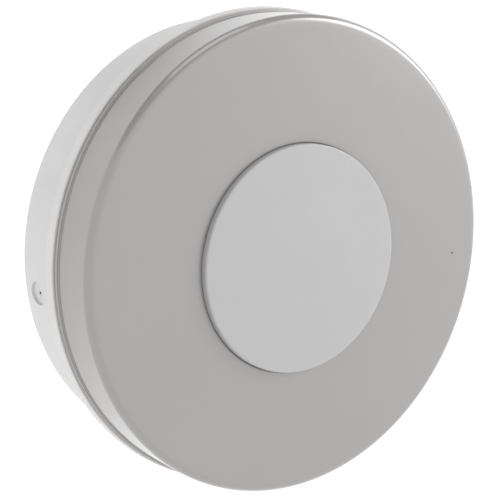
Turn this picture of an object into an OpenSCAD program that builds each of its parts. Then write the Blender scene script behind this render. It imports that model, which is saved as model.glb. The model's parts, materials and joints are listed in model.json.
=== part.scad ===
// Battery heat detector: a round head that twists onto a wall or ceiling plate.
// Every piece is laid out with the mounting face on z = 0 and the front up,
// and stand_up() then turns the front to face -Y with the mounting face on y = 0.

/* [Head] */
// Diameter of the flange ring, the widest part of the head
flange_d = 120; // [119.6:0.1:122]
// Diameter of the rear drum
drum_d = 111.4; // [111:0.1:112]
// Thickness of the drum's wall
drum_wall = 2.0; // [1.8:0.1:2.2]
// Height of the flange ring's back face
flange_back_z = 18.2; // [18.1:0.1:18.6]
// Height of the flange ring's front face
flange_front_z = 21.3; // [21.1:0.1:21.4]
// Gap between the flange ring and the front cover, filled by the seal
seam_gap = 0.45; // [0.35:0.05:0.6]

/* [Front cover] */
// Diameter of the cover's wall behind its foot bead
cover_back_d = 117.9; // [117.4:0.1:118.2]
// How far the bead round the cover's foot stands out from the wall
cover_bead_out = 0.65; // [0.4:0.05:0.7]
// Diameter of the cover at its front edge, before the edge is rounded
cover_front_d = 119.2; // [118.8:0.1:119.5]
// Height of the cover's front edge, before the edge is rounded
cover_edge_z = 36.4; // [36.2:0.1:36.7]
// Height of the domed face at the central opening
cover_face_z = 37.7; // [37.5:0.1:38]
// Wall thickness of the cover
cover_wall = 2.2; // [2:0.1:2.3]
// Radius of the rounded front edge
cover_edge_r = 2.0; // [1:0.1:2.4]
// Distance of the pin-hole from the axis
pin_hole_at = 51; // [50.8:0.1:51.2]
// Direction of the pin-hole, anticlockwise from +X
pin_hole_angle = -6; // [-7:0.5:-5]

/* [Button] */
// Diameter of the central button
button_d = 56.9; // [56.6:0.1:57.1]
// Gap round the button
button_gap = 0.3; // [0.25:0.05:0.4]
// Height of the button's face
button_face_z = 39.25; // [39:0.05:39.5]
// How far the button travels when it is pressed
button_travel = 0.6; // [0.3:0.1:0.6]

/* [Mounting plate] */
// Diameter of the plate
plate_d = 94; // [93:0.5:94]
// Thickness of the plate
plate_t = 2.0; // [1.8:0.1:2]
// Distance between the two screw slots
slot_spacing = 60; // [56:1:62]
// Width of a screw slot
slot_w = 4.4; // [4:0.1:5]
// Length of a screw slot from end to end
slot_length = 8; // [6:0.5:9]
// Angular width of a bayonet lug
lug_angle = 16; // [14:1:17]

/* [Batteries] */
// Diameter of a cell
cell_d = 17; // [16:0.1:17]
// Length of a cell with its terminal
cell_length = 34.5; // [33.5:0.1:34.5]

/* [Electronics] */
// Diameter of the main circuit board
board_d = 105; // [104.8:0.1:105]
// Thickness of the main circuit board
board_t = 1.6; // [1.5:0.1:1.6]
// Height of the board's back face
board_z = 27.6; // [27.5:0.05:27.7]
// Number of LEDs in the ring
led_count = 12; // [6:1:12]

/* [Hidden] */
$fn = 96;
SMALL_FN = 32;
MEDIUM_FN = 48;

flange_r = flange_d / 2;
drum_r = drum_d / 2;
drum_inner_r = drum_r - drum_wall;
edge_round = 0.5;
flange_round = 0.3;
skirt_clear = 0.4;
back_wall_z = 7.6;
back_wall_t = 1.4;
floor_z = back_wall_z + back_wall_t;

seam_z = flange_front_z + seam_gap;
cover_back_r = cover_back_d / 2;
cover_bead_r = cover_back_r + cover_bead_out;
cover_bead_h = 0.9;
cover_front_r = cover_front_d / 2;
opening_r = button_d / 2 + button_gap;
collar_t = 1.65;
collar_depth = 2.5;
dome_r = (pow(cover_front_r, 2) - pow(opening_r, 2)) / (2 * (cover_face_z - cover_edge_z));

button_r = button_d / 2;
button_top_t = 2.0;
button_skirt_t = 1.5;
button_skirt_z = 33.9;
button_under_z = button_face_z - button_top_t;

chassis_inner_r = 48.5;
chassis_collar_r = cover_back_r - cover_wall - 0.2;
chassis_collar_t = 1.8;
chassis_collar_h = 3.5;

housing_screw_at = 49.6;
housing_screw_angles = [60, 180, 300];
housing_boss_r = 4.2;
screw_head_r = 2.6;
screw_head_h = 2.0;
screw_r = 1.3;
screw_clear = 0.05;
screw_seat_z = back_wall_z + 2.5;
chassis_boss_r = 3.2;
chassis_boss_z = 24.5;

board_r = board_d / 2;
board_top_z = board_z + board_t;
board_screw_at = 50.4;
board_screw_angles = [20, 140, 260];
board_screw_r = 0.95;
board_post_r = 2.8;

lug_angles = [30, 150, 270];
lug_riser_t = 2.5;
lug_outer_r = 50.5;
lug_under_z = 3.0;
lug_top_z = 4.6;
tab_angle = 14;
tab_inner_r = 47.6;
tab_back_z = 0.9;
tab_front_z = 2.7;

lock_angle = 187.5;
lock_z = 6.15;
lock_recess_r = 3.0;
lock_recess_depth = 0.7;
lock_screw_r = 0.8;
lock_boss_inner = 50.9;
lock_screw_from = 49.4;
lock_screw_to = drum_r - lock_recess_depth - 0.05;

tray_wall = 1.0;
tray_floor_t = 1.0;
tray_end_y = 20.4;
tray_end_t = 1.4;
tray_side_z = 18;
tray_end_z = 22.8;
cell_x = [-33, -13];
cell_r = cell_d / 2;
cell_axis_z = floor_z + tray_floor_t + 0.1 + cell_r;
cell_nub_r = 3.2;
cell_nub_h = 1.0;
contact_t = 0.35;
contact_w = 9;
contact_h = 9;
contact_gap = 0.1;
cell_side_gap = 0.4;

sounder_x = 24;
horn_r = 19;
horn_inner_r = 17.7;
horn_top_z = 25.6;
horn_wall = 1.4;
horn_mouth_r = 7.5;
horn_neck_t = 1.2;
horn_neck_z = 29.0;
seat_inner_r = 15.7;
seat_outer_r = 17.3;
seat_z = 14.0;
gasket_t = 1.2;
brass_r = 17.5;
brass_t = 0.25;
ceramic_r = 12.5;
ceramic_t = 0.22;
brass_z = seat_z + gasket_t;
lead_slot_w = 5.4;
lead_slot_z = 12.5;

spring_mean_r = 7;
spring_wire_r = 0.35;

reflector_z = 31.0;
reflector_t = 1.0;
reflector_inner_r = 34;
reflector_outer_r = 49;
led_at = 45.5;

switch_w = 6;
switch_top_z = 31.95;
plunger_r = 1.7;
plunger_clear = 0.05;
plunger_top_z = 32.6;
plunger_length = 1.7;

thermistor_at = 32;
thermistor_angles = [90, 270];
bead_r = 1.1;
bead_z = 32.6;
bead_lead_x = 0.7;
bead_lead_r = 0.25;

mic_w = 3.8;
mic_depth = 2.6;
mic_h = 1.2;
boot_r = 1.4;
boot_bore_r = 0.5;
pin_hole_r = 0.4;

// Turns the front, which is up while a piece is laid out, to face -Y
module stand_up() {
    rotate([90, 0, 0])
        children();
}

// Points of an arc from angle a1 to angle a2
function arc(centre, r, a1, a2, steps = 6) = [
    for (i = [0:steps])
        let(a = a1 + (a2 - a1) * i / steps)
        centre + r * [cos(a), sin(a)]
];

// Height of the cover's domed outer face at a distance from the axis
function dome_z(r) = cover_face_z - (pow(r, 2) - pow(opening_r, 2)) / (2 * dome_r);

// Height of the cover's inner face at a distance from the axis
function cover_inner_z(r) = dome_z(r) - cover_wall;

// Centre of a circle that rounds the corner between two walls with outward normals n1 and n2
function round_centre(corner, n1, n2, r) = corner - r * (n1 + n2) / (1 + n1 * n2);

// Ring between two radii and two heights
module ring(r1, r2, z1, z2) {
    translate([0, 0, z1])
        rotate_extrude()
            translate([r1, 0])
                square([r2 - r1, z2 - z1]);
}

// Profile of radius and height, swept through part of a turn centred on an angle
module profile_part(profile, angle, width) {
    rotate([0, 0, angle - width / 2])
        rotate_extrude(angle = width)
            polygon(profile);
}

// Part of a ring, centred on an angle
module ring_part(r1, r2, z1, z2, angle, width) {
    profile_part([[r1, z1], [r2, z1], [r2, z2], [r1, z2]], angle, width);
}

// Straight rod between two heights
module post(r, z1, z2) {
    translate([0, 0, z1])
        cylinder(h = z2 - z1, r = r);
}

// Moves a piece out to a radius in each of several directions
module around(radius, angles) {
    for (a = angles)
        rotate([0, 0, a])
            translate([radius, 0, 0])
                children();
}

// Block centred on x and y, standing on a height
module block(size, z) {
    translate([-size[0] / 2, -size[1] / 2, z])
        cube(size);
}

// Rod between two points
module rod(from, to, r) {
    d = to - from;
    translate(from)
        rotate([0, acos(d[2] / norm(d)), atan2(d[1], d[0])])
            cylinder(h = norm(d), r = r, $fn = SMALL_FN);
}

// Wire through a list of points, with round elbows
module wire(points, r) {
    for (i = [1:len(points) - 1])
        rod(points[i - 1], points[i], r);
    for (i = [1:len(points) - 2])
        translate(points[i])
            sphere(r = r, $fn = SMALL_FN);
}

// Helical spring between two heights
module coil(mean_r, wire_r, z1, z2, turns, steps = 16, sides = 8) {
    count = turns * steps;
    skin = [
        for (i = [0:count])
            for (j = [0:sides - 1])
                let(
                    along = 360 * i / steps,
                    round_wire = 360 * j / sides,
                    r = mean_r + wire_r * cos(round_wire),
                    z = z1 + (z2 - z1) * i / count + wire_r * sin(round_wire)
                )
                [r * cos(along), r * sin(along), z]
    ];
    walls = [
        for (i = [0:count - 1])
            for (j = [0:sides - 1])
                let(k = (j + 1) % sides)
                [i * sides + j, i * sides + k, (i + 1) * sides + k, (i + 1) * sides + j]
    ];
    first_end = [for (j = [0:sides - 1]) sides - 1 - j];
    last_end = [for (j = [0:sides - 1]) count * sides + j];
    polyhedron(points = skin, faces = concat(walls, [first_end, last_end]), convexity = 10);
}

// Slotted screw hole along x
module screw_slot(width, length, z1, z2) {
    reach = (length - width) / 2;
    for (side = [-1, 1])
        translate([side * reach, 0, 0])
            post(width / 2, z1, z2);
    block([2 * reach, width, z2 - z1], z1);
}

// Bayonet lugs, each with a stop that ends the turn at its locked side
module plate_lugs() {
    stop_angle = 3;
    stop_back_z = 0.3;
    stop_set_in = 0.3;
    stop_gap = 0.5;
    stop_at = tab_angle / 2 + stop_gap + stop_angle / 2;
    riser_set_in = 0.4;
    inner_r = plate_d / 2 - lug_riser_t;
    riser_r = plate_d / 2 - riser_set_in;
    for (a = lug_angles) {
        profile_part(
            [
                [inner_r, 1], [riser_r, 1], [riser_r, lug_under_z],
                [lug_outer_r, lug_under_z], [lug_outer_r, lug_top_z], [inner_r, lug_top_z]
            ],
            a, lug_angle
        );
        ring_part(
            inner_r + stop_set_in, lug_outer_r - stop_set_in,
            stop_back_z, lug_top_z - stop_set_in, a - stop_at, stop_angle
        );
    }
}

module plate_lock_post() {
    post_outer_r = 46.9;
    post_t = 2.7;
    post_top_z = 7.2;
    post_angle = 10;
    notch_depth = 1.2;
    notch_w = 3.2;
    difference() {
        ring_part(post_outer_r - post_t, post_outer_r, 1, post_top_z, lock_angle, post_angle);
        rotate([0, 0, lock_angle])
            translate([post_outer_r, 0, 0])
                block([2 * notch_depth, notch_w, post_top_z], lock_z - notch_w / 2);
    }
}

module mounting_plate() {
    rib_rs = [12, 20, 39];
    rib_t = 1.2;
    rib_h = 1.0;
    recess_w = 8.4;
    recess_length = slot_length + 4;
    recess_depth = 0.8;
    rim_clear = 0.5;
    rim_r = drum_inner_r - rim_clear;
    rim_t = 0.6;
    color("whitesmoke")
        stand_up() {
            difference() {
                union() {
                    rotate_extrude()
                        polygon([
                            [0, 0], [rim_r, 0], [rim_r, rim_t],
                            [plate_d / 2, rim_t], [plate_d / 2, plate_t], [0, plate_t]
                        ]);
                    for (r = rib_rs)
                        ring(r, r + rib_t, plate_t - 0.2, plate_t + rib_h);
                }
                for (side = [-1, 1])
                    translate([side * slot_spacing / 2, 0, 0]) {
                        screw_slot(slot_w, slot_length, -1, plate_t + 1);
                        screw_slot(recess_w, recess_length, plate_t - recess_depth, plate_t + 1);
                    }
            }
            plate_lugs();
            plate_lock_post();
        }
}

module drum_shell() {
    bottom = skirt_clear;
    rotate_extrude()
        polygon(concat(
            arc([drum_r - edge_round, bottom + edge_round], edge_round, -90, 0, 4),
            [
                [drum_r, flange_back_z],
                [drum_inner_r, flange_back_z],
                [drum_inner_r, bottom]
            ]
        ));
}

// Radial axis through the locking screw
module along_lock(from, to, r, sides = MEDIUM_FN) {
    rotate([0, 0, lock_angle])
        translate([from, 0, lock_z])
            rotate([0, 90, 0])
                cylinder(h = to - from, r = r, $fn = sides);
}

// Notch through the sounder's walls, on the side towards the leads
module lead_slot(wall_r, from_z) {
    reach = 6;
    set_out = 2;
    translate([sounder_x - wall_r - set_out, -lead_slot_w / 2, from_z])
        cube([reach, lead_slot_w, lead_slot_z - from_z]);
}

module rear_housing() {
    lock_boss_r = 3.6;
    overlap = 0.5;
    tab_outer_r = drum_inner_r + overlap;
    counterbore_r = screw_head_r + 0.3;
    hole_r = screw_r + 0.2;
    color("whitesmoke")
        stand_up()
            difference() {
                union() {
                    drum_shell();
                    post(drum_inner_r + overlap, back_wall_z, floor_z);
                    for (a = lug_angles)
                        ring_part(tab_inner_r, tab_outer_r, tab_back_z, tab_front_z, a, tab_angle);
                    around(housing_screw_at, housing_screw_angles)
                        post(housing_boss_r, back_wall_z + 0.4, flange_back_z - 0.1);
                    along_lock(lock_boss_inner, drum_inner_r + 0.8, lock_boss_r);
                    translate([sounder_x, 0, 0])
                        ring(seat_inner_r, seat_outer_r, floor_z - 0.2, seat_z);
                }
                around(housing_screw_at, housing_screw_angles) {
                    post(counterbore_r, back_wall_z - 1, screw_seat_z);
                    post(hole_r, back_wall_z - 1, flange_back_z + 1);
                }
                along_lock(drum_r - lock_recess_depth, drum_r + 2, lock_recess_r);
                along_lock(lock_boss_inner - 1, drum_r, lock_screw_r + screw_clear);
                lead_slot(seat_outer_r, floor_z);
            }
}

module flange_shell() {
    outer_corners = concat(
        arc([flange_r - flange_round, flange_back_z + flange_round], flange_round, -90, 0, 4),
        arc([flange_r - flange_round, flange_front_z - flange_round], flange_round, 0, 90, 4)
    );
    rotate_extrude()
        polygon(concat(outer_corners, [
            [chassis_inner_r, flange_front_z],
            [chassis_inner_r, flange_back_z]
        ]));
}

module mid_chassis() {
    spigot_r = drum_inner_r - 0.3;
    spigot_t = 1.8;
    spigot_depth = 3;
    spigot_angle = 100;
    half_way = 60;
    hole_depth = 5.8;
    board_hole_depth = 4.2;
    color("white")
        stand_up()
            difference() {
                union() {
                    flange_shell();
                    ring(
                        chassis_collar_r - chassis_collar_t, chassis_collar_r,
                        flange_front_z - 0.5, flange_front_z + chassis_collar_h
                    );
                    for (a = housing_screw_angles)
                        ring_part(
                            spigot_r - spigot_t, spigot_r,
                            flange_back_z - spigot_depth, flange_back_z + 0.5,
                            a + half_way, spigot_angle
                        );
                    around(housing_screw_at, housing_screw_angles)
                        post(chassis_boss_r, flange_back_z + 0.3, chassis_boss_z);
                    around(board_screw_at, board_screw_angles)
                        post(board_post_r, flange_front_z - 0.5, board_z);
                }
                around(housing_screw_at, housing_screw_angles)
                    post(screw_r + screw_clear, flange_back_z - 1, flange_back_z + hole_depth);
                around(board_screw_at, board_screw_angles)
                    post(board_screw_r + screw_clear, board_z - board_hole_depth, board_z + 1);
            }
}

module front_diffuser() {
    height = cover_edge_z - seam_z - cover_bead_h;
    lean = atan2(cover_front_r - cover_back_r, height);
    dome_lean = atan2(cover_front_r, dome_r);
    side_normal = [cos(lean), -sin(lean)];
    face_normal = [sin(dome_lean), cos(dome_lean)];
    corner = [cover_front_r, cover_edge_z];
    edge_centre = round_centre(corner, side_normal, face_normal, cover_edge_r);
    inner_edge_r = 1.0;
    inner_corner = [cover_front_r - cover_wall, cover_inner_z(cover_front_r - cover_wall)];
    inner_centre = round_centre(inner_corner, side_normal, face_normal, inner_edge_r);
    collar_r = opening_r + collar_t;
    lip_r = 0.4;
    dome_steps = 10;
    dome_from = edge_centre[0] + cover_edge_r * sin(dome_lean);
    inner_from = collar_r;
    inner_to = inner_centre[0];
    outer_dome = [
        for (i = [1:dome_steps])
            let(r = dome_from + (opening_r + lip_r - dome_from) * i / dome_steps)
            [r, dome_z(r)]
    ];
    bead_front_z = seam_z + cover_bead_h;
    bead_round = 0.2;
    bead_centre_r = cover_bead_r - bead_round;
    inner_dome = [
        for (i = [0:dome_steps - 1])
            let(r = inner_from + (inner_to - inner_from) * i / dome_steps)
            [r, cover_inner_z(r)]
    ];
    color([0.76, 0.75, 0.74])
        stand_up()
            difference() {
                rotate_extrude()
                    polygon(concat(
                        arc([bead_centre_r, seam_z + bead_round], bead_round, -90, 0, 4),
                        arc([bead_centre_r, bead_front_z - bead_round], bead_round, 0, 90, 4),
                        [[cover_back_r, bead_front_z]],
                        arc(edge_centre, cover_edge_r, -lean, 90 - dome_lean, 10),
                        outer_dome,
                        [
                            [opening_r, cover_face_z - lip_r],
                            [opening_r, cover_face_z - collar_depth],
                            [collar_r, cover_face_z - collar_depth]
                        ],
                        inner_dome,
                        arc(inner_centre, inner_edge_r, 90 - dome_lean, -lean, 4),
                        [[cover_back_r - cover_wall, seam_z]]
                    ));
                around(pin_hole_at, [pin_hole_angle])
                    translate([0, 0, cover_inner_z(pin_hole_at) - 1])
                        cylinder(h = cover_wall + 2, r = pin_hole_r, $fn = SMALL_FN);
            }
}

module diffuser_seal() {
    inner_gap = 0.2;
    set_back = 0.6;
    color([0.25, 0.25, 0.25])
        stand_up()
            ring(chassis_collar_r + inner_gap, cover_back_r - set_back, flange_front_z, seam_z);
}

module light_reflector() {
    lip_t = 0.8;
    lip_h = 0.8;
    leg_at = 38;
    leg_r = 1.2;
    window_r = 2.6;
    color("white")
        stand_up()
            difference() {
                union() {
                    ring(reflector_inner_r, reflector_outer_r, reflector_z, reflector_z + reflector_t);
                    ring(
                        reflector_outer_r - lip_t, reflector_outer_r,
                        reflector_z, reflector_z + reflector_t + lip_h
                    );
                    around(leg_at, lug_angles)
                        post(leg_r, board_top_z, reflector_z + 0.2);
                }
                led_ring()
                    post(window_r, reflector_z - 0.5, reflector_z + reflector_t + 0.5);
            }
}

// Places a piece at every LED of the ring
module led_ring() {
    step = 360 / led_count;
    around(led_at, [for (i = [0:led_count - 1]) step * (i + 0.5)])
        children();
}

module main_pcb() {
    hole_clear = 0.2;
    neck_clear = 0.8;
    color("darkgreen")
        stand_up()
            difference() {
                post(board_r, board_z, board_top_z);
                around(board_screw_at, board_screw_angles)
                    post(board_screw_r + hole_clear, board_z - 1, board_top_z + 1);
                translate([sounder_x, 0, 0])
                    post(horn_mouth_r + horn_neck_t + neck_clear, board_z - 1, board_top_z + 1);
            }
}

module status_leds() {
    base_w = 3;
    base_h = 0.8;
    lens_r = 1.1;
    lens_h = 0.5;
    color("ivory")
        stand_up()
            led_ring() {
                block([base_w, base_w, base_h], board_top_z);
                post(lens_r, board_top_z + base_h - 0.1, board_top_z + base_h + lens_h, $fn = SMALL_FN);
            }
}

module radio_module() {
    at_x = -19;
    carrier = [16, 18, 0.8];
    can = [13, 13, 1.6];
    can_y = -1.5;
    color("silver")
        stand_up()
            translate([at_x, 0, 0]) {
                block(carrier, board_top_z);
                translate([0, can_y, 0])
                    block(can, board_top_z + carrier[2]);
            }
}

// Inverted-F antenna: a strip on two legs
module antenna() {
    at_x = -36;
    strip = [1.2, 24, 0.4];
    leg_h = 1.1;
    leg_y = [-11.4, -6];
    color("gold")
        stand_up()
            translate([at_x, 0, 0]) {
                block(strip, board_top_z + leg_h);
                for (y = leg_y)
                    translate([0, y, 0])
                        block([strip[0], strip[0], leg_h], board_top_z);
            }
}

module controller_chips() {
    places = [[12, 18], [-6, -21], [22, -24], [-20, 26]];
    sizes = [[9, 9, 1], [6, 5, 1.5], [5, 4, 1.2], [7, 7, 0.9]];
    color([0.12, 0.12, 0.13])
        stand_up()
            for (i = [0:len(places) - 1])
                translate([places[i][0], places[i][1], 0])
                    block(sizes[i], board_top_z);
}

module capacitors() {
    places = [[-4, 20], [5, -19]];
    can_r = 2.5;
    can_h = 5.2;
    foot = [5.4, 5.4, 0.8];
    color("silver")
        stand_up()
            for (p = places)
                translate([p[0], p[1], 0]) {
                    block(foot, board_top_z);
                    post(can_r, board_top_z, board_top_z + can_h, $fn = MEDIUM_FN);
                }
}

module boost_inductor() {
    place = [15, -16];
    end_r = 3.5;
    core_r = 2.6;
    height = 4;
    rim = 0.8;
    color([0.3, 0.3, 0.32])
        stand_up()
            translate([place[0], place[1], board_top_z])
                rotate_extrude($fn = MEDIUM_FN)
                    polygon([
                        [0, 0], [end_r, 0], [end_r, rim], [core_r, rim],
                        [core_r, height - rim], [end_r, height - rim],
                        [end_r, height], [0, height]
                    ]);
}

module tact_switch() {
    bore_z = plunger_top_z - plunger_length - button_travel - 0.1;
    leg = [8.4, 0.8, 0.3];
    leg_y = [-2.2, 2.2];
    color([0.2, 0.2, 0.2])
        stand_up()
            difference() {
                union() {
                    block([switch_w, switch_w, switch_top_z - board_top_z], board_top_z);
                    for (y = leg_y)
                        translate([0, y, 0])
                            block(leg, board_top_z);
                }
                post(plunger_r + plunger_clear, bore_z, switch_top_z + 1, $fn = MEDIUM_FN);
            }
}

module switch_plunger() {
    color([0.85, 0.3, 0.1])
        stand_up()
            post(plunger_r, plunger_top_z - plunger_length, plunger_top_z, $fn = MEDIUM_FN);
}

module button_cap() {
    top_round = 0.5;
    post_r = 3;
    seat_r = spring_mean_r + 0.8;
    seat_t = 0.9;
    seat_h = 0.9;
    tab_gap = 0.1;
    tab_top_z = cover_face_z - collar_depth - tab_gap;
    tab_reach = 1.5;
    tab_w = 30;
    overlap = 0.5;
    rib_inner_r = seat_r + seat_t;
    rib_h = 0.8;
    rib_t = 1.2;
    color([0.93, 0.93, 0.92])
        stand_up() {
            rotate_extrude()
                polygon(concat(
                    [
                        [0, button_under_z],
                        [button_r - button_skirt_t, button_under_z],
                        [button_r - button_skirt_t, button_skirt_z],
                        [button_r, button_skirt_z]
                    ],
                    arc([button_r - top_round, button_face_z - top_round], top_round, 0, 90, 5),
                    [[0, button_face_z]]
                ));
            post(post_r, plunger_top_z, button_under_z + overlap);
            ring(seat_r, seat_r + seat_t, button_under_z - seat_h, button_under_z + overlap);
            for (a = lug_angles)
                ring_part(
                    button_r - button_skirt_t, button_r + tab_reach,
                    button_skirt_z, tab_top_z, a, tab_w
                );
            for (a = lug_angles)
                rotate([0, 0, a])
                    translate([rib_inner_r - 0.2, -rib_t / 2, button_under_z - rib_h])
                        cube([button_r - rib_inner_r - overlap, rib_t, rib_h + overlap]);
        }
}

module button_spring() {
    end_gap = 0.02;
    turns = 5;
    color("silver")
        stand_up()
            coil(
                spring_mean_r, spring_wire_r,
                board_top_z + spring_wire_r + end_gap,
                button_under_z - spring_wire_r - end_gap,
                turns
            );
}

module test_microphone() {
    set_in = 0.1;
    color("gold")
        stand_up()
            around(pin_hole_at - set_in, [pin_hole_angle])
                block([mic_depth, mic_w, mic_h], board_top_z);
}

module microphone_boot() {
    top_gap = 0.1;
    color([0.15, 0.15, 0.15])
        stand_up()
            around(pin_hole_at, [pin_hole_angle])
                ring(
                    boot_bore_r, boot_r,
                    board_top_z + mic_h, cover_inner_z(pin_hole_at + boot_r) - top_gap,
                    $fn = SMALL_FN
                );
}

// Cell along y with its terminal towards +y
module cell() {
    body_length = cell_length - cell_nub_h;
    edge = 0.6;
    translate([0, tray_end_y - contact_t - contact_gap - cell_length, cell_axis_z])
        rotate([-90, 0, 0])
            rotate_extrude()
                polygon([
                    [0, 0], [cell_r - edge, 0], [cell_r, edge], [cell_r, body_length - edge],
                    [cell_r - edge, body_length], [cell_nub_r, body_length],
                    [cell_nub_r, cell_length], [0, cell_length]
                ]);
}

module battery_left() {
    color("royalblue")
        stand_up()
            translate([cell_x[0], 0, 0])
                cell();
}

module battery_right() {
    color("royalblue")
        stand_up()
            translate([cell_x[1], 0, 0])
                mirror([0, 1, 0])
                    cell();
}

module battery_tray() {
    left_x = cell_x[0] - cell_r - cell_side_gap;
    right_x = cell_x[1] + cell_r + cell_side_gap;
    divider_t = 1.2;
    divider_x = (cell_x[0] + cell_x[1] - divider_t) / 2;
    right_from = divider_x + divider_t;
    outer_y = tray_end_y + tray_end_t;
    color([0.2, 0.2, 0.22])
        stand_up()
            difference() {
                translate([left_x - tray_wall, -outer_y, floor_z])
                    cube([right_x - left_x + 2 * tray_wall, 2 * outer_y, tray_end_z - floor_z]);
                translate([left_x, -tray_end_y, floor_z + tray_floor_t])
                    cube([divider_x - left_x, 2 * tray_end_y, tray_end_z]);
                translate([right_from, -tray_end_y, floor_z + tray_floor_t])
                    cube([right_x - right_from, 2 * tray_end_y, tray_end_z]);
                translate([left_x - 2 * tray_wall, -tray_end_y, tray_side_z])
                    cube([right_x - left_x + 4 * tray_wall, 2 * tray_end_y, tray_end_z]);
            }
}

// Negative contact springs, one at each cell's flat end
module battery_springs() {
    mean_r = 3.6;
    wire_r = 0.35;
    turns = 4;
    gap = 0.05;
    length = 2 * tray_end_y - 2 * contact_t - contact_gap - cell_length;
    color("silver")
        stand_up()
            for (i = [0, 1])
                translate([cell_x[i], 0, cell_axis_z])
                    mirror([0, i, 0])
                        translate([0, contact_t - tray_end_y, 0])
                            rotate([-90, 0, 0])
                                coil(mean_r, wire_r, wire_r + gap, length - wire_r - gap, turns);
}

// Contact plates: one bridges both cells, and two take the leads
module battery_contacts() {
    low_z = cell_axis_z - contact_h / 2;
    bridge_w = cell_x[1] - cell_x[0] + contact_w;
    notch_from = contact_w + 3;
    color("silver")
        stand_up() {
            translate([cell_x[0] - contact_w / 2, tray_end_y - contact_t, low_z])
                difference() {
                    cube([bridge_w, contact_t, contact_h]);
                    translate([notch_from, -1, -1])
                        cube([bridge_w - 2 * notch_from, 2, contact_h - 1]);
                }
            for (x = cell_x)
                translate([x - contact_w / 2, -tray_end_y, low_z])
                    cube([contact_w, contact_t, contact_h]);
        }
}

module battery_pads() {
    pad = [5, 14, 0.5];
    pad_y = [-9, 9];
    color([0.3, 0.3, 0.3])
        stand_up()
            for (x = cell_x)
                for (y = pad_y)
                    translate([x, y, 0])
                        block([pad[0], pad[1], board_z - cell_axis_z - cell_r], cell_axis_z + cell_r);
}

module battery_leads() {
    lead_r = 0.5;
    contact_top_z = cell_axis_z + contact_h / 2;
    color("crimson")
        stand_up()
            for (x = cell_x)
                translate([x, -tray_end_y + contact_t / 2, 0])
                    post(lead_r, contact_top_z, board_z, $fn = SMALL_FN);
}

module sounder_horn() {
    ledge_h = 1.5;
    ledge_z = brass_z + brass_t;
    color("dimgray")
        stand_up()
            difference() {
                translate([sounder_x, 0, 0])
                    rotate_extrude()
                        polygon([
                            [horn_inner_r, floor_z],
                            [horn_r, floor_z],
                            [horn_r, horn_top_z],
                            [horn_mouth_r + horn_neck_t, horn_top_z],
                            [horn_mouth_r + horn_neck_t, horn_neck_z],
                            [horn_mouth_r, horn_neck_z],
                            [horn_mouth_r, horn_top_z - horn_wall],
                            [horn_inner_r, horn_top_z - horn_wall],
                            [horn_inner_r, ledge_z + ledge_h],
                            [seat_inner_r, ledge_z + ledge_h],
                            [seat_inner_r, ledge_z],
                            [horn_inner_r, ledge_z]
                        ]);
                lead_slot(horn_r, floor_z - 1);
            }
}

module sounder_gasket() {
    color([0.2, 0.2, 0.2])
        stand_up()
            translate([sounder_x, 0, 0])
                ring(seat_inner_r, seat_outer_r, seat_z, brass_z);
}

module piezo_brass() {
    color("goldenrod")
        stand_up()
            translate([sounder_x, 0, 0])
                post(brass_r, brass_z, brass_z + brass_t);
}

module piezo_ceramic() {
    color("gainsboro")
        stand_up()
            translate([sounder_x, 0, 0])
                post(ceramic_r, brass_z - ceramic_t, brass_z);
}

// Two leads: one from the brass disc and one from the ceramic, both up to the board
module piezo_leads() {
    lead_r = 0.5;
    rise_x = 1.8;
    run_z = 10.8;
    side_y = 1.5;
    brass_x = sounder_x - 14.2;
    ceramic_x = sounder_x - 11;
    starts = [[brass_x, -side_y, brass_z], [ceramic_x, side_y, brass_z - ceramic_t]];
    color("crimson")
        stand_up()
            for (s = starts)
                wire([s, [s[0], s[1], run_z], [rise_x, s[1], run_z], [rise_x, s[1], board_z]], lead_r);
}

// Places a piece at each heat sensor, with x across it
module at_thermistors() {
    for (a = thermistor_angles)
        rotate([0, 0, a - 90])
            translate([0, thermistor_at, 0])
                children();
}

module bead_leads(r) {
    for (side = [-1, 1])
        translate([side * bead_lead_x, 0, 0])
            post(r, board_top_z, bead_z, $fn = SMALL_FN);
}

module thermistor_holders() {
    holder = [4.4, 2.6, 1.6];
    hole_clear = 0.05;
    color("white")
        stand_up()
            at_thermistors()
                difference() {
                    block(holder, board_top_z);
                    bead_leads(bead_lead_r + hole_clear);
                }
}

module thermistor_leads() {
    color("silver")
        stand_up()
            at_thermistors()
                bead_leads(bead_lead_r);
}

module thermistor_beads() {
    color([0.1, 0.1, 0.1])
        stand_up()
            at_thermistors()
                difference() {
                    translate([0, 0, bead_z])
                        sphere(r = bead_r, $fn = MEDIUM_FN);
                    bead_leads(bead_lead_r);
                }
}

module housing_screws() {
    drive_r = 1.3;
    drive_depth = 1.1;
    tip_z = 23.4;
    head_z = screw_seat_z - screw_head_h;
    color("gray")
        stand_up()
            around(housing_screw_at, housing_screw_angles)
                difference() {
                    union() {
                        post(screw_head_r, head_z, screw_seat_z, $fn = MEDIUM_FN);
                        post(screw_r, screw_seat_z - 0.1, tip_z, $fn = MEDIUM_FN);
                    }
                    post(drive_r, head_z - 1, head_z + drive_depth, $fn = 6);
                }
}

module pcb_screws() {
    head_r = 2.2;
    head_h = 1.4;
    drive_r = 1.1;
    drive_depth = 0.9;
    length = 4.0;
    color("gray")
        stand_up()
            around(board_screw_at, board_screw_angles)
                difference() {
                    union() {
                        post(head_r, board_top_z, board_top_z + head_h, $fn = MEDIUM_FN);
                        post(board_screw_r, board_z - length, board_top_z + 0.1, $fn = MEDIUM_FN);
                    }
                    post(drive_r, board_top_z + head_h - drive_depth, board_top_z + head_h + 1, $fn = 6);
                }
}

module lock_screw() {
    socket_r = 0.4;
    socket_depth = 0.8;
    color("silver")
        stand_up()
            difference() {
                along_lock(lock_screw_from, lock_screw_to, lock_screw_r);
                along_lock(lock_screw_to - socket_depth, lock_screw_to + 1, socket_r, 6);
            }
}

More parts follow.
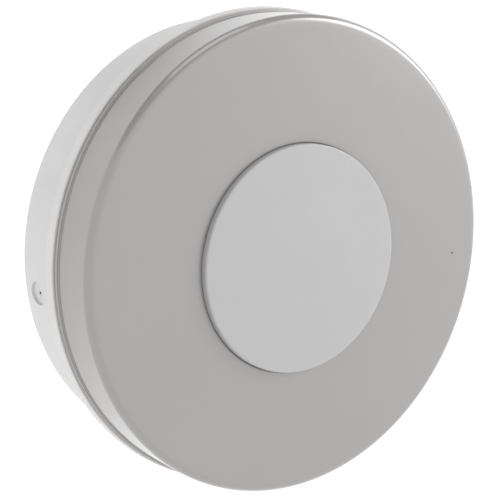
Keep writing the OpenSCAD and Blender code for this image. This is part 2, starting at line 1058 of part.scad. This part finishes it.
mounting_plate();
rear_housing();
mid_chassis();
front_diffuser();
diffuser_seal();
light_reflector();
main_pcb();
status_leds();
radio_module();
antenna();
controller_chips();
capacitors();
boost_inductor();
tact_switch();
switch_plunger();
button_cap();
button_spring();
test_microphone();
microphone_boot();
battery_left();
battery_right();
battery_tray();
battery_springs();
battery_contacts();
battery_pads();
battery_leads();
sounder_horn();
sounder_gasket();
piezo_brass();
piezo_ceramic();
piezo_leads();
thermistor_holders();
thermistor_leads();
thermistor_beads();
housing_screws();
pcb_screws();
lock_screw();
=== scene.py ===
"""Looks of a round battery heat detector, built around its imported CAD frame.

Lengths are in metres. The detector's axis is the world's Y axis: its front faces -Y, and
y = 0 is the wall that it hangs on. A turned piece is drawn as an outline of (radius, depth)
pairs, where depth is the distance in front of the wall, and spun round that axis.
"""

import json
import math

import bmesh
import bpy
from mathutils import Matrix, Vector


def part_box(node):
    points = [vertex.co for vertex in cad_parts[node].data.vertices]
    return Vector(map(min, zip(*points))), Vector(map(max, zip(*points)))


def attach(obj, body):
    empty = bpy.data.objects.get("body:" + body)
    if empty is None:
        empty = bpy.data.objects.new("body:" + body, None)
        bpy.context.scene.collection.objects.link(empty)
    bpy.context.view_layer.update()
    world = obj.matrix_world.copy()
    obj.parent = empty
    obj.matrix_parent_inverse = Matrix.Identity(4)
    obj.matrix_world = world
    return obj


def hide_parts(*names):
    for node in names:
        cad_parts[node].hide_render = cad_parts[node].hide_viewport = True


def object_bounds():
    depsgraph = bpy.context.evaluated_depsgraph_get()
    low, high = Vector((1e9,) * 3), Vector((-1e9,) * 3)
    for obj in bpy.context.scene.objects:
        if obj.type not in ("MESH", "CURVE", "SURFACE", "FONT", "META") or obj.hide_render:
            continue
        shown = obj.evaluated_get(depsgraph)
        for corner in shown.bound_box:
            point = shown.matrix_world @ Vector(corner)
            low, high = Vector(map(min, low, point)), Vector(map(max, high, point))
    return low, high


MM = 0.001
TURN_STEPS = 288
SMOOTH_ANGLE = math.radians(35)

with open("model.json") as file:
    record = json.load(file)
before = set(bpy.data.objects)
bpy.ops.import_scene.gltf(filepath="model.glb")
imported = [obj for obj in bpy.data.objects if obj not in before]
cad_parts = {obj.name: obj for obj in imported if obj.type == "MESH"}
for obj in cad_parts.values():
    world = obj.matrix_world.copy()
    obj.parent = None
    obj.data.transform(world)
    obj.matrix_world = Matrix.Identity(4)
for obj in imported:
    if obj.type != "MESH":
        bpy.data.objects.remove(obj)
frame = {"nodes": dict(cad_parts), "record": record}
cad_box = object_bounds()
scene = bpy.context.scene
nodes = frame["nodes"]


# ---------------------------------------------------------------- places read from the frame

def node_depths(name):
    """Back and front of a CAD node, as distances in front of the wall."""
    low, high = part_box(name)
    return -high.y, -low.y


COVER_BACK, COVER_FRONT = node_depths("front_diffuser")
BUTTON_FRONT = node_depths("button_cap")[1]


# ---------------------------------------------------------------- camera

CAMERA_AZIMUTH = math.radians(-35.7)
CAMERA_ELEVATION = math.radians(12.46)
CAMERA_DISTANCE = 0.5085
CAMERA_AIM_RIGHT = -0.00253
CAMERA_AIM_UP = -0.00074
CAMERA_LENS_MM = 145.85
CAMERA_NEAR, CAMERA_FAR = 0.01, 20


def make_camera():
    """Looks at the seam's centre from the photograph's side, a little above and to the left."""
    back = Vector((
        math.sin(CAMERA_AZIMUTH) * math.cos(CAMERA_ELEVATION),
        -math.cos(CAMERA_AZIMUTH) * math.cos(CAMERA_ELEVATION),
        math.sin(CAMERA_ELEVATION),
    ))
    right = Vector((math.cos(CAMERA_AZIMUTH), math.sin(CAMERA_AZIMUTH), 0))
    up = back.cross(right)
    aim = Vector((0, -COVER_BACK, 0)) + right * CAMERA_AIM_RIGHT + up * CAMERA_AIM_UP
    data = bpy.data.cameras.new("camera")
    data.lens = CAMERA_LENS_MM
    data.clip_start = CAMERA_NEAR
    data.clip_end = CAMERA_FAR
    camera = bpy.data.objects.new("camera", data)
    camera.location = aim + back * CAMERA_DISTANCE
    camera.rotation_euler = back.to_track_quat("Z", "Y").to_euler()
    scene.collection.objects.link(camera)
    scene.camera = camera


make_camera()


# ---------------------------------------------------------------- material building blocks

class Look:
    """A node material that is put together one step at a time."""

    def __init__(self, name, color, roughness, **sockets):
        self.material = bpy.data.materials.new(name)
        self.material.use_nodes = True
        self.tree = self.material.node_tree
        self.shader = self.tree.nodes["Principled BSDF"]
        self.place = self.add("ShaderNodeTexCoord").outputs["Object"]
        self.shader.inputs["Base Color"].default_value = (*color, 1)
        self.shader.inputs["Roughness"].default_value = roughness
        for socket, value in sockets.items():
            self.shader.inputs[socket.replace("_", " ")].default_value = value

    def add(self, kind, **settings):
        node = self.tree.nodes.new(kind)
        for name, value in settings.items():
            setattr(node, name, value)
        return node

    def link(self, output, target):
        self.tree.links.new(output, target)

    def noise(self, cell, detail=3.0, rough=0.5):
        """Cloudy noise whose blotches are about one cell, in metres, across."""
        node = self.add("ShaderNodeTexNoise")
        node.inputs["Scale"].default_value = 1 / cell
        node.inputs["Detail"].default_value = detail
        node.inputs["Roughness"].default_value = rough
        self.link(self.place, node.inputs["Vector"])
        return node.outputs["Fac"]

    def grains(self, cell):
        """Cellular pattern, for moulded or cast textures."""
        node = self.add("ShaderNodeTexVoronoi", feature="SMOOTH_F1")
        node.inputs["Scale"].default_value = 1 / cell
        self.link(self.place, node.inputs["Vector"])
        return node.outputs["Distance"]

    def spread(self, value, low, high, out_low, out_high):
        node = self.add("ShaderNodeMapRange")
        for name, number in (
            ("From Min", low), ("From Max", high), ("To Min", out_low), ("To Max", out_high)
        ):
            node.inputs[name].default_value = number
        self.link(value, node.inputs["Value"])
        return node.outputs["Result"]

    def mix(self, share, first, second):
        """Colour that goes from first to second as share goes from 0 to 1."""
        node = self.add("ShaderNodeMix", data_type="RGBA")
        self.link(share, node.inputs["Factor"])
        for socket, color in ((node.inputs[6], first), (node.inputs[7], second)):
            if hasattr(color, "is_output"):
                self.link(color, socket)
            else:
                socket.default_value = (*color, 1)
        return node.outputs[2]

    def color(self, output):
        self.link(output, self.shader.inputs["Base Color"])
        return self

    def roughness(self, output):
        self.link(output, self.shader.inputs["Roughness"])
        return self

    def bump(self, height, depth):
        """Presses a height pattern, of the given depth in metres, into the surface."""
        node = self.add("ShaderNodeBump")
        node.inputs["Strength"].default_value = 1.0
        node.inputs["Distance"].default_value = depth
        self.link(height, node.inputs["Height"])
        before = self.shader.inputs["Normal"]
        if before.is_linked:
            self.link(before.links[0].from_socket, node.inputs["Normal"])
        self.link(node.outputs["Normal"], before)
        return self


def tinted(color, factor):
    return tuple(c * factor for c in color)


def moulded(name, color, roughness, grain=0.35 * MM, depth=0.006 * MM, mottling=0.03, **sockets):
    """Injection-moulded plastic: fine spark-eroded grain, faint mottling, uneven gloss."""
    look = Look(name, color, roughness, **sockets)
    clouds = look.noise(14 * MM, 3)
    look.color(look.mix(
        look.spread(clouds, 0.3, 0.7, 0, 1), tinted(color, 1 - mottling), tinted(color, 1 + mottling)
    ))
    look.roughness(look.spread(
        look.noise(5 * MM, 4), 0.3, 0.7, roughness * 0.9, min(1.0, roughness * 1.1)
    ))
    look.bump(look.noise(grain, 2, 0.6), depth)
    return look.material


def metal(name, color, roughness, scratch=0.3 * MM, depth=0.003 * MM):
    """Plated or rolled metal with fine scratches and slightly cloudy gloss."""
    look = Look(name, color, roughness, Metallic=1.0)
    clouds = look.noise(2.5 * MM, 4)
    look.color(look.mix(
        look.spread(clouds, 0.3, 0.7, 0, 1), tinted(color, 0.88), tinted(color, 1.04)
    ))
    look.roughness(look.spread(clouds, 0.3, 0.7, roughness * 0.8, roughness * 1.25))
    look.bump(look.noise(scratch, 6, 0.7), depth)
    return look.material


def soft(name, color, pore=0.3 * MM, depth=0.03 * MM):
    """Foam or rubber with open pores, whose hollows are painted darker as painted shade."""
    look = Look(name, color, 0.85)
    pores = look.grains(pore)
    # painted shade: the colour drops to 0.6 of its tone in the pore hollows, where the bump sinks
    look.color(look.mix(look.spread(pores, 0.1, 0.6, 0, 1), tinted(color, 0.6), tinted(color, 1.15)))
    look.bump(pores, depth)
    return look.material


# ---------------------------------------------------------------- materials

def make_cover_look():
    """Front cover: smoked grey diffusing plastic under a clear, very glossy skin."""
    color = (0.215, 0.203, 0.199)
    look = Look(
        "cover_gloss", color, 0.32,
        IOR=2.1, Coat_Weight=1.0, Coat_Roughness=0.04, Coat_IOR=1.5,
    )
    clouds = look.noise(22 * MM, 2)
    look.color(look.mix(
        look.spread(clouds, 0.3, 0.7, 0, 1), tinted(color, 0.985), tinted(color, 1.015)
    ))
    look.roughness(look.spread(look.noise(9 * MM, 3), 0.3, 0.7, 0.30, 0.34))
    look.bump(look.noise(7 * MM, 1), 0.002 * MM)
    return look.material


def make_board_look():
    """Green solder mask over a fine net of tracks."""
    green = (0.015, 0.11, 0.045)
    look = Look("board_mask", green, 0.35, Coat_Weight=0.3, Coat_Roughness=0.2)
    tracks = look.add("ShaderNodeTexBrick", offset=0.37, squash=1.6, squash_frequency=3)
    tracks.inputs["Scale"].default_value = 140
    tracks.inputs["Mortar Size"].default_value = 0.035
    tracks.inputs["Color1"].default_value = (*green, 1)
    tracks.inputs["Color2"].default_value = (*tinted(green, 1.25), 1)
    tracks.inputs["Mortar"].default_value = (*tinted(green, 2.1), 1)
    turn = look.add("ShaderNodeMapping")
    turn.inputs["Rotation"].default_value = (math.radians(90), 0, 0)
    look.link(look.place, turn.inputs["Vector"])
    look.link(turn.outputs["Vector"], tracks.inputs["Vector"])
    look.color(tracks.outputs["Color"])
    look.bump(tracks.outputs["Fac"], 0.02 * MM)
    look.roughness(look.spread(look.noise(3 * MM, 3), 0.3, 0.7, 0.3, 0.42))
    return look.material


def make_cell_look():
    """Shrink-wrapped cell: blue sleeve with a paler band round one end."""
    blue, pale = (0.02, 0.06, 0.28), (0.62, 0.66, 0.72)
    look = Look("cell_sleeve", blue, 0.25, Coat_Weight=0.5, Coat_Roughness=0.08)
    axes = look.add("ShaderNodeSeparateXYZ")
    look.link(look.place, axes.inputs["Vector"])
    band = look.spread(axes.outputs["Z"], 8.6 * MM, 8.8 * MM, 0, 1)
    look.color(look.mix(band, blue, pale))
    look.roughness(look.spread(look.noise(4 * MM, 3), 0.3, 0.7, 0.2, 0.32))
    look.bump(look.noise(1.2 * MM, 3), 0.02 * MM)
    return look.material


def make_led_look():
    """LED: cream package with a faintly yellow phosphor lens."""
    cream = (0.80, 0.74, 0.50)
    look = Look("led_phosphor", cream, 0.22, Coat_Weight=0.6, Coat_Roughness=0.05)
    look.color(look.mix(look.noise(0.6 * MM, 2), tinted(cream, 0.85), tinted(cream, 1.1)))
    look.roughness(look.spread(look.noise(0.8 * MM, 2), 0.3, 0.7, 0.18, 0.3))
    return look.material


LOOKS = {
    "plate_plastic": moulded("plate_white", (0.70, 0.70, 0.69), 0.5),
    "housing_plastic": moulded("housing_white", (0.632, 0.620, 0.618), 0.42, Subsurface_Weight=0.05),
    "chassis_plastic": moulded("chassis_white", (0.625, 0.617, 0.613), 0.38, Subsurface_Weight=0.05),
    "diffuser_plastic": make_cover_look(),
    "seal_rubber": soft("seal_grey", (0.23, 0.225, 0.22), 0.2 * MM, 0.01 * MM),
    "reflector_plastic": moulded("reflector_white", (0.86, 0.86, 0.85), 0.55),
    "circuit_board": make_board_look(),
    "led_package": make_led_look(),
    "shield_can": metal("shield_tin", (0.62, 0.62, 0.63), 0.3),
    "antenna_metal": metal("antenna_gilt", (0.75, 0.56, 0.22), 0.28),
    "chip_plastic": moulded("chip_black", (0.012, 0.012, 0.013), 0.55, 0.2 * MM, 0.01 * MM, 0.2),
    "capacitor_can": metal("capacitor_aluminium", (0.70, 0.70, 0.71), 0.32),
    "ferrite": moulded("ferrite_grey", (0.035, 0.035, 0.038), 0.6, 0.15 * MM, 0.02 * MM, 0.15),
    "switch_plastic": moulded("switch_black", (0.015, 0.015, 0.015), 0.5),
    "plunger_plastic": moulded("plunger_orange", (0.62, 0.10, 0.02), 0.45),
    "button_plastic": moulded(
        "button_white", (0.410, 0.400, 0.404), 0.5, 0.3 * MM, 0.004 * MM, 0.012,
        Subsurface_Weight=0.05,
    ),
    "spring_steel": metal("spring_plated", (0.66, 0.66, 0.67), 0.22),
    "sensor_metal": metal("sensor_gilt", (0.72, 0.54, 0.25), 0.3),
    "boot_rubber": soft("boot_black", (0.02, 0.02, 0.02), 0.2 * MM, 0.01 * MM),
    "cell_wrap": make_cell_look(),
    "tray_plastic": moulded("tray_black", (0.02, 0.02, 0.022), 0.5),
    "contact_metal": metal("contact_nickel", (0.66, 0.64, 0.58), 0.25),
    "pad_foam": soft("pad_black", (0.03, 0.03, 0.03)),
    "lead_insulation": moulded("lead_red", (0.45, 0.01, 0.01), 0.35, 0.5 * MM, 0.01 * MM),
    "horn_plastic": moulded("horn_black", (0.02, 0.02, 0.022), 0.5),
    "gasket_foam": soft("gasket_black", (0.025, 0.025, 0.025)),
    "brass_disc": metal("sounder_brass", (0.72, 0.48, 0.16), 0.3),
    "piezo_silver": metal("piezo_fired_silver", (0.75, 0.74, 0.70), 0.45, 0.2 * MM, 0.006 * MM),
    "holder_plastic": moulded("holder_white", (0.75, 0.75, 0.72), 0.5),
    "tinned_wire": metal("wire_tinned", (0.68, 0.68, 0.70), 0.25),
    "bead_epoxy": moulded("bead_black", (0.01, 0.01, 0.012), 0.2, 0.5 * MM, 0.01 * MM),
    "screw_steel": metal("screw_zinc", (0.52, 0.52, 0.54), 0.32),
    "lock_steel": metal("lock_zinc", (0.58, 0.58, 0.60), 0.3),
}


def dress_nodes():
    """Gives every CAD node the look of its slot in the record."""
    for row in frame["record"]["subparts"]:
        mesh = nodes[row["node"]].data
        mesh.materials.clear()
        mesh.materials.append(LOOKS[row["material_slot"]])


dress_nodes()


# ---------------------------------------------------------------- turned pieces

def arc(center, radius, start, end, steps):
    """Points of an arc in the outline's plane, with angles in degrees from the radius axis."""
    points = []
    for i in range(steps + 1):
        angle = math.radians(start + (end - start) * i / steps)
        points.append((
            center[0] + radius * math.cos(angle), center[1] + radius * math.sin(angle)
        ))
    return points


def point_at(radius, depth, angle):
    """Place at a radius, a depth in front of the wall and an angle from +X towards +Z."""
    return Vector((radius * math.cos(angle), -depth, radius * math.sin(angle)))


def spun(name, outline, closed=True, steps=TURN_STEPS):
    """Mesh made by spinning an outline of (radius, depth) pairs round the detector's axis."""
    mesh = bmesh.new()
    on_axis = 1e-9
    rings = []
    for radius, depth in outline:
        if radius < on_axis:
            rings.append([mesh.verts.new((0, -depth, 0))] * steps)
        else:
            rings.append([
                mesh.verts.new(point_at(radius, depth, 2 * math.pi * k / steps))
                for k in range(steps)
            ])
    pairs = list(zip(rings, rings[1:]))
    if closed:
        pairs.append((rings[-1], rings[0]))
    for first, second in pairs:
        for k in range(steps):
            j = (k + 1) % steps
            corners = []
            for corner in (first[k], first[j], second[j], second[k]):
                if corner not in corners:
                    corners.append(corner)
            if len(corners) > 2:
                mesh.faces.new(corners)
    bmesh.ops.recalc_face_normals(mesh, faces=mesh.faces)
    return as_piece(name, mesh)


def as_piece(name, mesh):
    """Turns a bmesh into an object that is shaded smooth where its faces meet gently."""
    data = bpy.data.meshes.new(name)
    mesh.to_mesh(data)
    mesh.free()
    piece = bpy.data.objects.new(name, data)
    scene.collection.objects.link(piece)
    data.set_sharp_from_angle(angle=SMOOTH_ANGLE)
    for polygon in data.polygons:
        polygon.use_smooth = True
    return piece


def settle(piece, body, slot, *replaced):
    """Gives a piece its body, its finish and the CAD nodes that it stands for."""
    piece.data.materials.append(LOOKS[slot])
    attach(piece, body)
    if replaced:
        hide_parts(*replaced)
    return piece


# ---------------------------------------------------------------- front cover

COVER_BACK_R = 58.95 * MM
BEAD_R = COVER_BACK_R + 0.55 * MM
BEAD_FRONT = COVER_BACK + 0.9 * MM
BEAD_ROUND = 0.2 * MM
COVER_EDGE = (59.6 * MM, 36.4 * MM)
COVER_WALL = 2.2 * MM
COVER_EDGE_ROUND = 2.0 * MM
COVER_INNER_ROUND = 1.0 * MM
OPENING_R = 28.5 * MM
OPENING_ROUND = 0.4 * MM
COLLAR_R = OPENING_R + 1.65 * MM
COLLAR_DEPTH = 2.5 * MM
DOME_STEPS, BEAD_STEPS, EDGE_STEPS, LIP_STEPS = 24, 5, 16, 6
PIN_HOLE_R = 0.25 * MM
PIN_HOLE_AT = (51 * MM, -6)
DRILL_LENGTH, DRILL_SIDES = 12 * MM, 32


def dome_depth(radius):
    """Depth of the cover's shallow domed face, from its edge up to its central opening."""
    rise = COVER_FRONT - COVER_EDGE[1]
    share = (COVER_EDGE[0] ** 2 - radius ** 2) / (COVER_EDGE[0] ** 2 - OPENING_R ** 2)
    return COVER_EDGE[1] + rise * share


def rounding(corner, lean, dome_lean, radius):
    """Centre of the circle that rounds the corner between the leaning side and the dome."""
    side = Vector((math.cos(lean), -math.sin(lean)))
    face = Vector((math.sin(dome_lean), math.cos(dome_lean)))
    return Vector(corner) - radius * (side + face) / (1 + side.dot(face))


def cover_outline():
    """Cover's section: bead, leaning side, rounded edge, dome, lip, collar and inside wall."""
    lean = math.atan2(COVER_EDGE[0] - COVER_BACK_R, COVER_EDGE[1] - BEAD_FRONT)
    slope_step = 0.1 * MM
    drop = dome_depth(COVER_EDGE[0] - slope_step) - dome_depth(COVER_EDGE[0])
    dome_lean = math.atan2(drop, slope_step)
    lean_deg, dome_deg = math.degrees(lean), math.degrees(dome_lean)
    outer = rounding(COVER_EDGE, lean, dome_lean, COVER_EDGE_ROUND)
    inner_edge = COVER_EDGE[0] - COVER_WALL
    inner_corner = (inner_edge, dome_depth(inner_edge) - COVER_WALL)
    inner = rounding(inner_corner, lean, dome_lean, COVER_INNER_ROUND)
    dome_start = outer[0] + COVER_EDGE_ROUND * math.sin(dome_lean)
    bead = BEAD_R - BEAD_ROUND
    lip = (OPENING_R + OPENING_ROUND, dome_depth(OPENING_R + OPENING_ROUND) - OPENING_ROUND)
    outline = arc((bead, COVER_BACK + BEAD_ROUND), BEAD_ROUND, -90, 0, BEAD_STEPS)
    outline += arc((bead, BEAD_FRONT - BEAD_ROUND), BEAD_ROUND, 0, 90, BEAD_STEPS)
    crease = (COVER_BACK_R + BEAD_ROUND, BEAD_FRONT + BEAD_ROUND)
    outline += arc(crease, BEAD_ROUND, -90, -180, BEAD_STEPS)[1:]
    outline += arc(outer, COVER_EDGE_ROUND, -lean_deg, 90 - dome_deg, EDGE_STEPS)
    for i in range(1, DOME_STEPS):
        radius = dome_start + (lip[0] - dome_start) * i / DOME_STEPS
        outline.append((radius, dome_depth(radius)))
    outline += arc(lip, OPENING_ROUND, 90, 180, LIP_STEPS)
    outline.append((OPENING_R, COVER_FRONT - COLLAR_DEPTH))
    outline.append((COLLAR_R, COVER_FRONT - COLLAR_DEPTH))
    for i in range(DOME_STEPS):
        radius = COLLAR_R + (inner[0] - COLLAR_R) * i / DOME_STEPS
        outline.append((radius, dome_depth(radius) - COVER_WALL))
    outline += arc(inner, COVER_INNER_ROUND, 90 - dome_deg, -lean_deg, LIP_STEPS)
    outline.append((COVER_BACK_R - COVER_WALL, COVER_BACK))
    return outline


def drill(target, radius, place):
    """Cuts a straight hole through the face at a (radius, angle in degrees)."""
    reach, turn = place[0], math.radians(place[1])
    mesh = bmesh.new()
    bmesh.ops.create_cone(
        mesh, cap_ends=True, segments=DRILL_SIDES, radius1=radius, radius2=radius,
        depth=DRILL_LENGTH,
        matrix=Matrix.Translation(point_at(reach, COVER_FRONT, turn))
        @ Matrix.Rotation(math.pi / 2, 4, "X"),
    )
    bit = as_piece("bit", mesh)
    cut = target.modifiers.new("hole", "BOOLEAN")
    cut.object, cut.operation, cut.solver = bit, "DIFFERENCE", "EXACT"
    graph = bpy.context.evaluated_depsgraph_get()
    drilled = bpy.data.meshes.new_from_object(target.evaluated_get(graph))
    drilled.set_sharp_from_angle(angle=SMOOTH_ANGLE)
    target.modifiers.clear()
    target.data = drilled
    bpy.data.objects.remove(bit)


def make_cover():
    """Front cover with its foot bead, its opening and the pin-hole near its right edge."""
    cover = spun("front_cover", cover_outline())
    drill(cover, PIN_HOLE_R, PIN_HOLE_AT)
    return settle(cover, "head", "diffuser_plastic", "front_diffuser")


make_cover()


# ---------------------------------------------------------------- button

BUTTON_R = 28.45 * MM
BUTTON_RIM = 0.5 * MM
BUTTON_UNDER = BUTTON_FRONT - 2.0 * MM
SKIRT_R = BUTTON_R - 1.5 * MM
SKIRT_BACK = 33.9 * MM
POST_BACK, POST_R = 32.61 * MM, 3.0 * MM
SEAT = (7.8 * MM, 8.7 * MM)
SEAT_H = 0.9 * MM
TAB_REACH, TAB_FRONT = 1.5 * MM, COVER_FRONT - 2.6 * MM
TAB_INSET, TAB_CLEARANCE, TAB_WIDTH = 0.2 * MM, 0.02 * MM, 30
TAB_ANGLES = (30, 150, 270)
STEM_STEPS, SEAT_STEPS, RIM_STEPS = 64, 96, 8
OVERLAP = 0.5 * MM


def joined(name, *pieces):
    """One object made of the meshes of several."""
    mesh = bmesh.new()
    for piece in pieces:
        mesh.from_mesh(piece.data)
        bpy.data.objects.remove(piece)
    return as_piece(name, mesh)


def wedge(name, outline, angle, width, steps=24):
    """Outline of (radius, depth) pairs swept through part of a turn, in degrees."""
    mesh = bmesh.new()
    rows = []
    for k in range(steps + 1):
        turn = math.radians(angle - width / 2 + width * k / steps)
        rows.append([mesh.verts.new(point_at(radius, depth, turn)) for radius, depth in outline])
    for first, second in zip(rows, rows[1:]):
        for i in range(len(outline)):
            j = (i + 1) % len(outline)
            mesh.faces.new((first[i], first[j], second[j], second[i]))
    mesh.faces.new(rows[0])
    mesh.faces.new(reversed(rows[-1]))
    bmesh.ops.recalc_face_normals(mesh, faces=mesh.faces)
    return as_piece(name, mesh)


def rectangle(inner, outer, back, front):
    """Outline of a ring's section between two radii and two depths."""
    return [(inner, back), (outer, back), (outer, front), (inner, front)]


def make_button():
    """Satin disc with a softly rounded rim, its skirt, stem, spring seat and three catches."""
    outline = [(0, BUTTON_UNDER), (SKIRT_R, BUTTON_UNDER), (SKIRT_R, SKIRT_BACK)]
    outline.append((BUTTON_R, SKIRT_BACK))
    outline += arc((BUTTON_R - BUTTON_RIM, BUTTON_FRONT - BUTTON_RIM), BUTTON_RIM, 0, 90, RIM_STEPS)
    outline.append((0, BUTTON_FRONT))
    sunk = BUTTON_UNDER + OVERLAP
    stem = [(0, POST_BACK), (POST_R, POST_BACK), (POST_R, sunk), (0, sunk)]
    parts = [
        spun("disc", outline, closed=False),
        spun("stem", stem, closed=False, steps=STEM_STEPS),
        spun("seat", rectangle(*SEAT, BUTTON_UNDER - SEAT_H, sunk), steps=SEAT_STEPS),
    ]
    for angle in TAB_ANGLES:
        tab = rectangle(
            SKIRT_R + TAB_INSET, BUTTON_R + TAB_REACH, SKIRT_BACK + TAB_CLEARANCE, TAB_FRONT
        )
        parts.append(wedge("tab", tab, angle, TAB_WIDTH))
    button = joined("button_face", *parts)
    return settle(button, "button", "button_plastic", "button_cap")


make_button()


# ---------------------------------------------------------------- stage

FLOOR_Z = cad_box[0].z - 0.5 * MM
FLOOR_SIZE = 6.0
STAGE_GLOW = 1.0
STAGE_COLOR, STAGE_ROUGHNESS = (0.12, 0.12, 0.12), 0.9
STAGE_GRAIN, STAGE_GRAIN_DEPTH = 30 * MM, 0.02 * MM
SWEEP_R = 1.6
SWEEP_TOP = 1.3
SWEEP_STEPS = 96
WORLD_GLOW = 0.45


def make_stage_look():
    """Plain matt white of the studio's floor and wall, with an even glow of its own."""
    look = Look(
        "stage_white", STAGE_COLOR, STAGE_ROUGHNESS,
        Emission_Color=(1, 1, 1, 1), Emission_Strength=STAGE_GLOW,
    )
    look.bump(look.noise(STAGE_GRAIN, 2), STAGE_GRAIN_DEPTH)
    return look.material


STAGE_LOOK = make_stage_look()


def heading(azimuth, elevation=0.0):
    """Unit vector at an azimuth from the front towards the right, and a height above level."""
    turn, rise = math.radians(azimuth), math.radians(elevation)
    return Vector((
        math.sin(turn) * math.cos(rise), -math.cos(turn) * math.cos(rise), math.sin(rise)
    ))


def make_floor():
    """Wide pale floor just under the detector's lowest point."""
    mesh = bmesh.new()
    bmesh.ops.create_grid(mesh, x_segments=8, y_segments=8, size=FLOOR_SIZE)
    floor = as_piece("floor", mesh)
    floor.location = (0, 0, FLOOR_Z)
    floor.data.materials.append(STAGE_LOOK)


def make_sweep():
    """Plain white wall all round the stage."""
    mesh = bmesh.new()
    rows = []
    for i in range(SWEEP_STEPS):
        foot = heading(360 * i / SWEEP_STEPS) * SWEEP_R
        rows.append([mesh.verts.new((foot.x, foot.y, z)) for z in (FLOOR_Z, SWEEP_TOP)])
    for (low, high), (next_low, next_high) in zip(rows, rows[1:] + rows[:1]):
        mesh.faces.new((low, next_low, next_high, high))
    wall = as_piece("sweep", mesh)
    wall.data.materials.append(STAGE_LOOK)


make_floor()
make_sweep()


# ---------------------------------------------------------------- lights

SOFTBOX_AZIMUTH, SOFTBOX_DISTANCE, SOFTBOX_HEIGHT = 55, 0.95, 0.36
SOFTBOX_SIZE = (0.62, 0.84)
SOFTBOX_RADIANCE = 5.0
SOFTBOX_SIDE_FADE = (-0.31, -0.10)
SOFTBOX_FOOT_FADE = (-0.06, 0.25)
TOP_PLACE = (0, -0.1, 1.1)
TOP_SIZE = (0.7, 0.7)
TOP_RADIANCE = 1.5
DETECTOR_MIDDLE = Vector((0, -0.02, 0))


def area_light(name, place, size, radiance, target):
    """Soft rectangular light, as bright as the given radiance, turned towards a target."""
    data = bpy.data.lights.new(name, "AREA")
    data.shape = "RECTANGLE"
    data.size, data.size_y = size
    data.energy = radiance * math.pi * size[0] * size[1]
    light = bpy.data.objects.new(name, data)
    light.location = place
    toward = target - Vector(place)
    light.rotation_euler = toward.to_track_quat("-Z", "Y").to_euler()
    light.visible_camera = False
    scene.collection.objects.link(light)
    return light


def fade(tree, position, direction, limits):
    """Rises softly from 0 to 1 between two distances along a direction."""
    reach = tree.nodes.new("ShaderNodeVectorMath")
    reach.operation = "DOT_PRODUCT"
    reach.inputs[1].default_value = direction
    tree.links.new(position, reach.inputs[0])
    share = tree.nodes.new("ShaderNodeMapRange")
    share.interpolation_type = "SMOOTHSTEP"
    share.inputs["From Min"].default_value, share.inputs["From Max"].default_value = limits
    tree.links.new(reach.outputs["Value"], share.inputs["Value"])
    return share.outputs["Result"]


def make_softbox():
    """Large soft light on the right, which fades out at its left edge and its foot."""
    height = Vector((0, 0, SOFTBOX_HEIGHT))
    place = heading(SOFTBOX_AZIMUTH) * SOFTBOX_DISTANCE + height
    light = area_light("softbox", place, SOFTBOX_SIZE, SOFTBOX_RADIANCE, height)
    light.data.use_nodes = True
    tree = light.data.node_tree
    position = tree.nodes.new("ShaderNodeNewGeometry").outputs["Position"]
    both = tree.nodes.new("ShaderNodeMath")
    both.operation = "MULTIPLY"
    across = fade(tree, position, heading(SOFTBOX_AZIMUTH + 90), SOFTBOX_SIDE_FADE)
    tree.links.new(across, both.inputs[0])
    tree.links.new(fade(tree, position, (0, 0, 1), SOFTBOX_FOOT_FADE), both.inputs[1])
    tree.links.new(both.outputs["Value"], tree.nodes["Emission"].inputs["Strength"])


def make_world():
    """Even pale surroundings."""
    world = bpy.data.worlds.new("studio")
    world.use_nodes = True
    background = world.node_tree.nodes["Background"]
    background.inputs["Color"].default_value = (1, 1, 1, 1)
    background.inputs["Strength"].default_value = WORLD_GLOW
    scene.world = world
    scene.view_settings.view_transform = "Standard"


make_softbox()
area_light("top", TOP_PLACE, TOP_SIZE, TOP_RADIANCE, DETECTOR_MIDDLE)
make_world()
